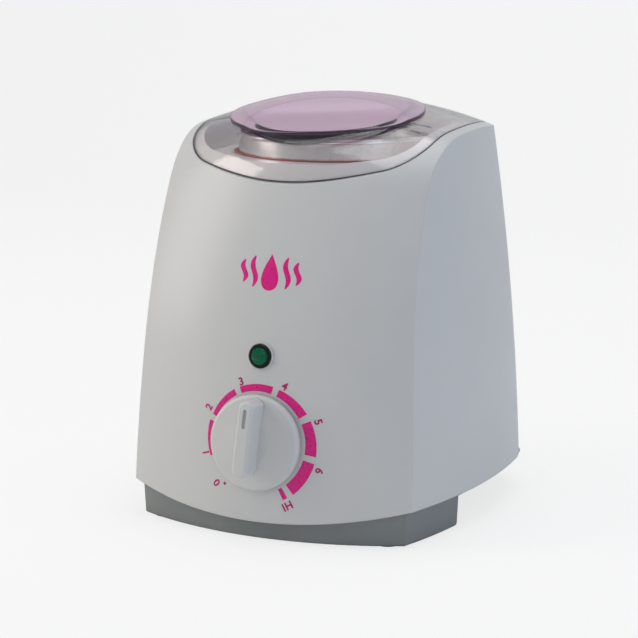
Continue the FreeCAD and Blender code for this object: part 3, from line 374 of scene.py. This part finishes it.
def film(name, grids, material):
    """Thin printed film on the front panel, from grids of (x, z) points in the dial's plane."""
    form = bmesh.new()
    for grid in grids:
        rows = [[form.verts.new(on_shell(x, z)) for x, z in row] for row in grid]
        for low, high in zip(rows, rows[1:]):
            for near, far, far_up, near_up in zip(low, low[1:], high[1:], high):
                form.faces.new((near, far, far_up, near_up))
    form.normal_update()
    mesh = bpy.data.meshes.new(name)
    form.to_mesh(mesh)
    form.free()
    for face in mesh.polygons:
        face.use_smooth = True
    return new_piece(name, mesh, material, "housing")


def polar(radius, degrees):
    """Point at a radius in mm and an angle clockwise from straight up."""
    turn = math.radians(degrees)
    return radius * math.sin(turn), radius * math.cos(turn)


def swept_arc(start, end, inner, outer_start, outer_end, steps=24, bands=4):
    """Grid of an arc that grows from one width to another as it goes clockwise."""
    grid = []
    for step in range(steps + 1):
        share = step / steps
        outer = outer_start + (outer_end - outer_start) * share
        angle = start + (end - start) * share
        grid.append([polar(inner + (outer - inner) * band / bands, angle) for band in range(bands + 1)])
    return grid


RING_INNER = 24.9
# start and end in degrees, then the outer radius at each end in mm
ARCS = [
    (-110.5, -72.5, 27.2, 27.8),
    (-66.0, -28.5, 27.4, 28.1),
    (-22.0, 15.0, 28.1, 28.6),
    (21.5, 57.5, 28.6, 29.6),
    (64.5, 98.5, 29.8, 30.6),
    (105.0, 140.5, 30.8, 30.9),
]
film("dial_arcs", [swept_arc(start, end, RING_INNER, *outer) for start, end, *outer in ARCS], pink_ink)
film("dial_high_tick", [swept_arc(146.5, 151.3, RING_INNER, 30.7, 30.7, 4)], pink_ink)
OFF_MARK_HALF = 1.0
mark_x, mark_z = polar(27.9, -143.0)
diamond = [
    [(mark_x - OFF_MARK_HALF, mark_z), (mark_x, mark_z + OFF_MARK_HALF)],
    [(mark_x, mark_z - OFF_MARK_HALF), (mark_x + OFF_MARK_HALF, mark_z)],
]
film("dial_off_mark", [diamond], crimson_ink)


SIZE_PER_CAPITAL = 1.38
STROKE_SWELL = 0.045


def printed_text(name, text, radius, degrees, height):
    """Numeral printed upright to the dial's edge, pressed on to the front panel."""
    letters = bpy.data.curves.new(name, "FONT")
    letters.body = text
    letters.align_x = "CENTER"
    letters.align_y = "CENTER"
    letters.size = height * SIZE_PER_CAPITAL
    letters.space_character = 1.08
    letters.offset = height * STROKE_SWELL
    letters.resolution_u = 6
    flat = bpy.data.objects.new(name, letters)
    bpy.context.scene.collection.objects.link(flat)
    bpy.context.view_layer.update()
    form = bmesh.new()
    form.from_mesh(flat.evaluated_get(bpy.context.evaluated_depsgraph_get()).to_mesh())
    bpy.data.objects.remove(flat)
    middle_x, middle_z = polar(radius, degrees)
    turn = math.radians(degrees)
    for vertex in form.verts:
        across, along = vertex.co.x, vertex.co.y
        x = middle_x + across * math.cos(turn) + along * math.sin(turn)
        z = middle_z - across * math.sin(turn) + along * math.cos(turn)
        vertex.co = on_shell(x, z)
    mesh = bpy.data.meshes.new(name)
    form.to_mesh(mesh)
    form.free()
    return new_piece(name, mesh, crimson_ink, "housing")


NUMERAL_HEIGHT = 3.9
# text, radius in mm and angle in degrees
NUMERALS = [
    ("0", 30.9, -136.5),
    ("1", 29.3, -106.5),
    ("2", 30.8, -62.5),
    ("3", 30.2, -19.0),
    ("4", 31.2, 25.0),
    ("5", 33.0, 67.5),
    ("6", 33.8, 109.0),
    ("HI", 34.0, 150.0),
]
for text, radius, degrees in NUMERALS:
    printed_text("dial_label_" + text, text, radius, degrees, NUMERAL_HEIGHT)


def heat_wave(middle, low, high, sway, half_width, steps=28):
    """Upright wavy stroke with tapered ends."""
    grid = []
    for step in range(steps + 1):
        share = step / steps
        x = middle + sway * math.sin(2.0 * math.pi * share)
        half = half_width * math.sin(math.pi * min(max(share, 0.02), 0.98)) ** 0.45
        z = low + (high - low) * share
        grid.append([(x - half, z), (x, z), (x + half, z)])
    return grid


def wax_drop(middle, low, high, half_width, steps=28):
    """Drop with its point upwards."""
    grid = []
    for step in range(steps + 1):
        turn = math.pi * min(max(step / steps, 0.01), 0.99)
        half = half_width * math.sin(turn) * math.sin(turn / 2.0) ** 1.3 * 1.2
        z = high - (high - low) * (1.0 - math.cos(turn)) / 2.0
        grid.append([(middle + half * part, z) for part in (1.0, 0.5, 0.0, -0.5, -1.0)])
    return grid


MOTIF_X = 1.3
MOTIF_LOW = 73.6
MOTIF_HIGH = 91.2
DROP_HALF = 5.2
WAVE_SWAY = 1.1
WAVE_HALF = 1.45
WAVES = [(-14.0, 3.4), (-8.6, 1.4), (8.6, 1.4), (14.0, 3.4)]      # offset, and shortening at each end
motif = [wax_drop(MOTIF_X, MOTIF_LOW, MOTIF_HIGH, DROP_HALF)]
for offset, rise in WAVES:
    motif.append(heat_wave(MOTIF_X + offset, MOTIF_LOW + rise, MOTIF_HIGH - rise, WAVE_SWAY, WAVE_HALF))
film("front_motif", motif, pink_ink)


# ---------------------------------------------------------------- faceted lamp lens

LAMP_UP = 42.0
LAMP_REACH = 8.0
LENS_PITCH = 1.2
LENS_RADIUS = 4.25
LENS_NECK = 3.55
LENS_SEAT = 1.95
LENS_EDGE_UP = 0.08
LENS_BACK = -6.0
LENS_SIDES = 48
LENS_DOME = 0.5
FACET_FOOT = 0.1
FACET_PEAK = 0.45
FACET_ROWS = range(-4, 4)
WELD = 0.02


def frame_centre(name):
    """Middle of a CAD node's points."""
    low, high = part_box(name)
    return (Vector(low) + Vector(high)) / 2.0


def lamp_frame():
    """Centre of the lamp on the panel's surface, and the directions up the panel and out of it."""
    left, right = (on_shell(x, LAMP_UP, 0.0) for x in (-LAMP_REACH, LAMP_REACH))
    below, above = (on_shell(0.0, LAMP_UP + z, 0.0) for z in (-LAMP_REACH, LAMP_REACH))
    up = (above - below).normalized()
    out = (right - left).normalized().cross(up)
    return (above + below) / 2.0, up, out


def faceted_lens():
    """Lens with a grid of small pyramids on its face."""
    centre, up, out = lamp_frame()
    axis = frame_centre("lamp_lens")
    centre = axis + out * (centre - axis).dot(out)
    form = bmesh.new()

    def vertex(x, z, height):
        reach = math.hypot(x, z)
        if reach > LENS_RADIUS:
            x, z = x * LENS_RADIUS / reach, z * LENS_RADIUS / reach
        dome = LENS_DOME * (1.0 - (min(reach, LENS_RADIUS) / LENS_RADIUS) ** 2)
        return form.verts.new(centre + (ACROSS * x + up * z + out * (height + dome)) * MM)

    half = LENS_PITCH / 2.0
    for row in FACET_ROWS:
        for column in FACET_ROWS:
            x, z = (column + 0.5) * LENS_PITCH, (row + 0.5) * LENS_PITCH
            if math.hypot(x, z) > LENS_RADIUS - 0.2:
                continue
            corners = [(x - half, z - half), (x + half, z - half), (x + half, z + half), (x - half, z + half)]
            ring = [vertex(a, b, LENS_SEAT + FACET_FOOT) for a, b in corners]
            peak = vertex(x, z, LENS_SEAT + FACET_PEAK)
            for first, second in zip(ring, ring[1:] + ring[:1]):
                form.faces.new((first, second, peak))
    outline = [
        (LENS_NECK, LENS_BACK), (LENS_NECK, LENS_SEAT),
        (LENS_RADIUS, LENS_SEAT), (LENS_RADIUS, LENS_SEAT + LENS_EDGE_UP),
    ]
    rings = []
    for radius, height in outline:
        ring = []
        for step in range(LENS_SIDES):
            x, z = polar(radius, 360.0 / LENS_SIDES * step)
            ring.append(form.verts.new(centre + (ACROSS * x + up * z + out * height) * MM))
        rings.append(ring)
    form.faces.new(rings[0])
    form.faces.new(rings[-1])
    for low, high in zip(rings, rings[1:]):
        for step in range(LENS_SIDES):
            after = (step + 1) % LENS_SIDES
            form.faces.new((low[step], low[after], high[after], high[step]))
    bmesh.ops.remove_doubles(form, verts=form.verts, dist=WELD * MM)
    bmesh.ops.recalc_face_normals(form, faces=form.faces)
    mesh = bpy.data.meshes.new("lens_facets")
    form.to_mesh(mesh)
    form.free()
    lens = new_piece("lens_facets", mesh, finishes["lens_green"], "housing")
    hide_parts("lamp_lens")


faceted_lens()


# ---------------------------------------------------------------- stage, light and camera

FLOOR_GLOW = 1.02
FLOOR_GLOW_SHARE = 0.74
FLOOR_HALF = 12.0
BEND_START = 0.9
BEND_RADIUS = 0.6
BEND_STEPS = 12
WALL_TOP = 6.0


def paper():
    """Pale paper that also glows a little to the eye, as an overlit studio sweep does."""
    shader = Shader("floor_paper")
    diffuse = shader.plastic(Base_Color=(0.88, 0.88, 0.88, 1.0), Roughness=0.8)
    glow = shader.add("ShaderNodeEmission")
    glow.inputs["Strength"].default_value = FLOOR_GLOW
    path = shader.add("ShaderNodeLightPath")
    blend = shader.add("ShaderNodeMixShader")
    glow_share = shader.maths("MULTIPLY", path.outputs["Is Camera Ray"], FLOOR_GLOW_SHARE)
    shader.join(glow_share, blend.inputs["Fac"])
    shader.join(diffuse.outputs["BSDF"], blend.inputs[1])
    shader.join(glow.outputs["Emission"], blend.inputs[2])
    shader.join(blend.outputs["Shader"], shader.output.inputs["Surface"])
    return shader.material


def stage_floor():
    """Plain pale sweep: floor that curves up into a backdrop."""
    profile = [(-FLOOR_HALF, 0.0), (BEND_START, 0.0)]
    for step in range(1, BEND_STEPS + 1):
        turn = math.radians(90.0 * step / BEND_STEPS)
        along = BEND_START + BEND_RADIUS * math.sin(turn)
        profile.append((along, BEND_RADIUS - BEND_RADIUS * math.cos(turn)))
    profile.append((BEND_START + BEND_RADIUS, WALL_TOP))
    form = bmesh.new()
    rows = [[form.verts.new((x, y, z)) for y, z in profile] for x in (-FLOOR_HALF, FLOOR_HALF)]
    for index in range(len(profile) - 1):
        form.faces.new((rows[0][index], rows[1][index], rows[1][index + 1], rows[0][index + 1]))
    mesh = bpy.data.meshes.new("floor")
    form.to_mesh(mesh)
    form.free()
    for face in mesh.polygons:
        face.use_smooth = True
    floor = bpy.data.objects.new("floor", mesh)
    bpy.context.scene.collection.objects.link(floor)
    mesh.materials.append(paper())


def lamp(name, place, target, size, power, colour):
    """Soft rectangular light, size in metres and power in watts, turned towards a target."""
    light = bpy.data.lights.new(name, "AREA")
    light.shape = "RECTANGLE"
    light.size, light.size_y = size
    light.energy = power
    light.color = colour
    holder = bpy.data.objects.new(name, light)
    bpy.context.scene.collection.objects.link(holder)
    holder.location = place
    holder.rotation_mode = "QUATERNION"
    holder.rotation_quaternion = (Vector(target) - Vector(place)).to_track_quat("-Z", "Y")


stage_floor()
MIDDLE = (0.0, 0.0, 0.11)
lamp("key_left", (-1.2, -0.6, 0.7), MIDDLE, (0.7, 1.2), 7.6, (1.0, 0.94, 0.87))
lamp("fill_right", (1.4, -0.3, 0.5), MIDDLE, (0.5, 1.0), 2.9, (0.45, 0.66, 1.0))
lamp("top_soft", (0.1, 0.2, 1.5), MIDDLE, (1.2, 1.2), 8.0, (1.0, 1.0, 1.0))

ROOM_COLOUR = (0.93, 0.96, 1.0, 1.0)
ROOM_LIGHT = 0.35
ROOM_SEEN = 0.91


def soft_room():
    """Even pale surroundings: near white to the eye, and a dimmer, cooler glow as light."""
    world = bpy.data.worlds.new("soft_room")
    world.use_nodes = True
    tree = world.node_tree
    lit = tree.nodes["Background"]
    lit.inputs["Color"].default_value = ROOM_COLOUR
    lit.inputs["Strength"].default_value = ROOM_LIGHT
    seen = tree.nodes.new("ShaderNodeBackground")
    seen.inputs["Color"].default_value = (1.0, 1.0, 1.0, 1.0)
    seen.inputs["Strength"].default_value = ROOM_SEEN
    path = tree.nodes.new("ShaderNodeLightPath")
    blend = tree.nodes.new("ShaderNodeMixShader")
    tree.links.new(path.outputs["Is Camera Ray"], blend.inputs["Fac"])
    tree.links.new(lit.outputs["Background"], blend.inputs[1])
    tree.links.new(seen.outputs["Background"], blend.inputs[2])
    tree.links.new(blend.outputs["Shader"], tree.nodes["World Output"].inputs["Surface"])
    return world


bpy.context.scene.world = soft_room()
bpy.context.scene.view_settings.view_transform = "Standard"

# viewpoint of the photo
CAMERA_LENS = 112.85
CAMERA_PLACE = (0.40092, -0.92462, 0.30617)
CAMERA_TILT = 78.17
CAMERA_TURN = 23.52

camera = bpy.data.cameras.new("camera")
camera.sensor_width = 36.0
camera.lens = CAMERA_LENS
camera.clip_start = 0.05
camera.clip_end = 20.0
eye = bpy.data.objects.new("camera", camera)
bpy.context.scene.collection.objects.link(eye)
eye.location = CAMERA_PLACE
eye.rotation_euler = (math.radians(CAMERA_TILT), 0.0, math.radians(CAMERA_TURN))
bpy.context.scene.camera = eye
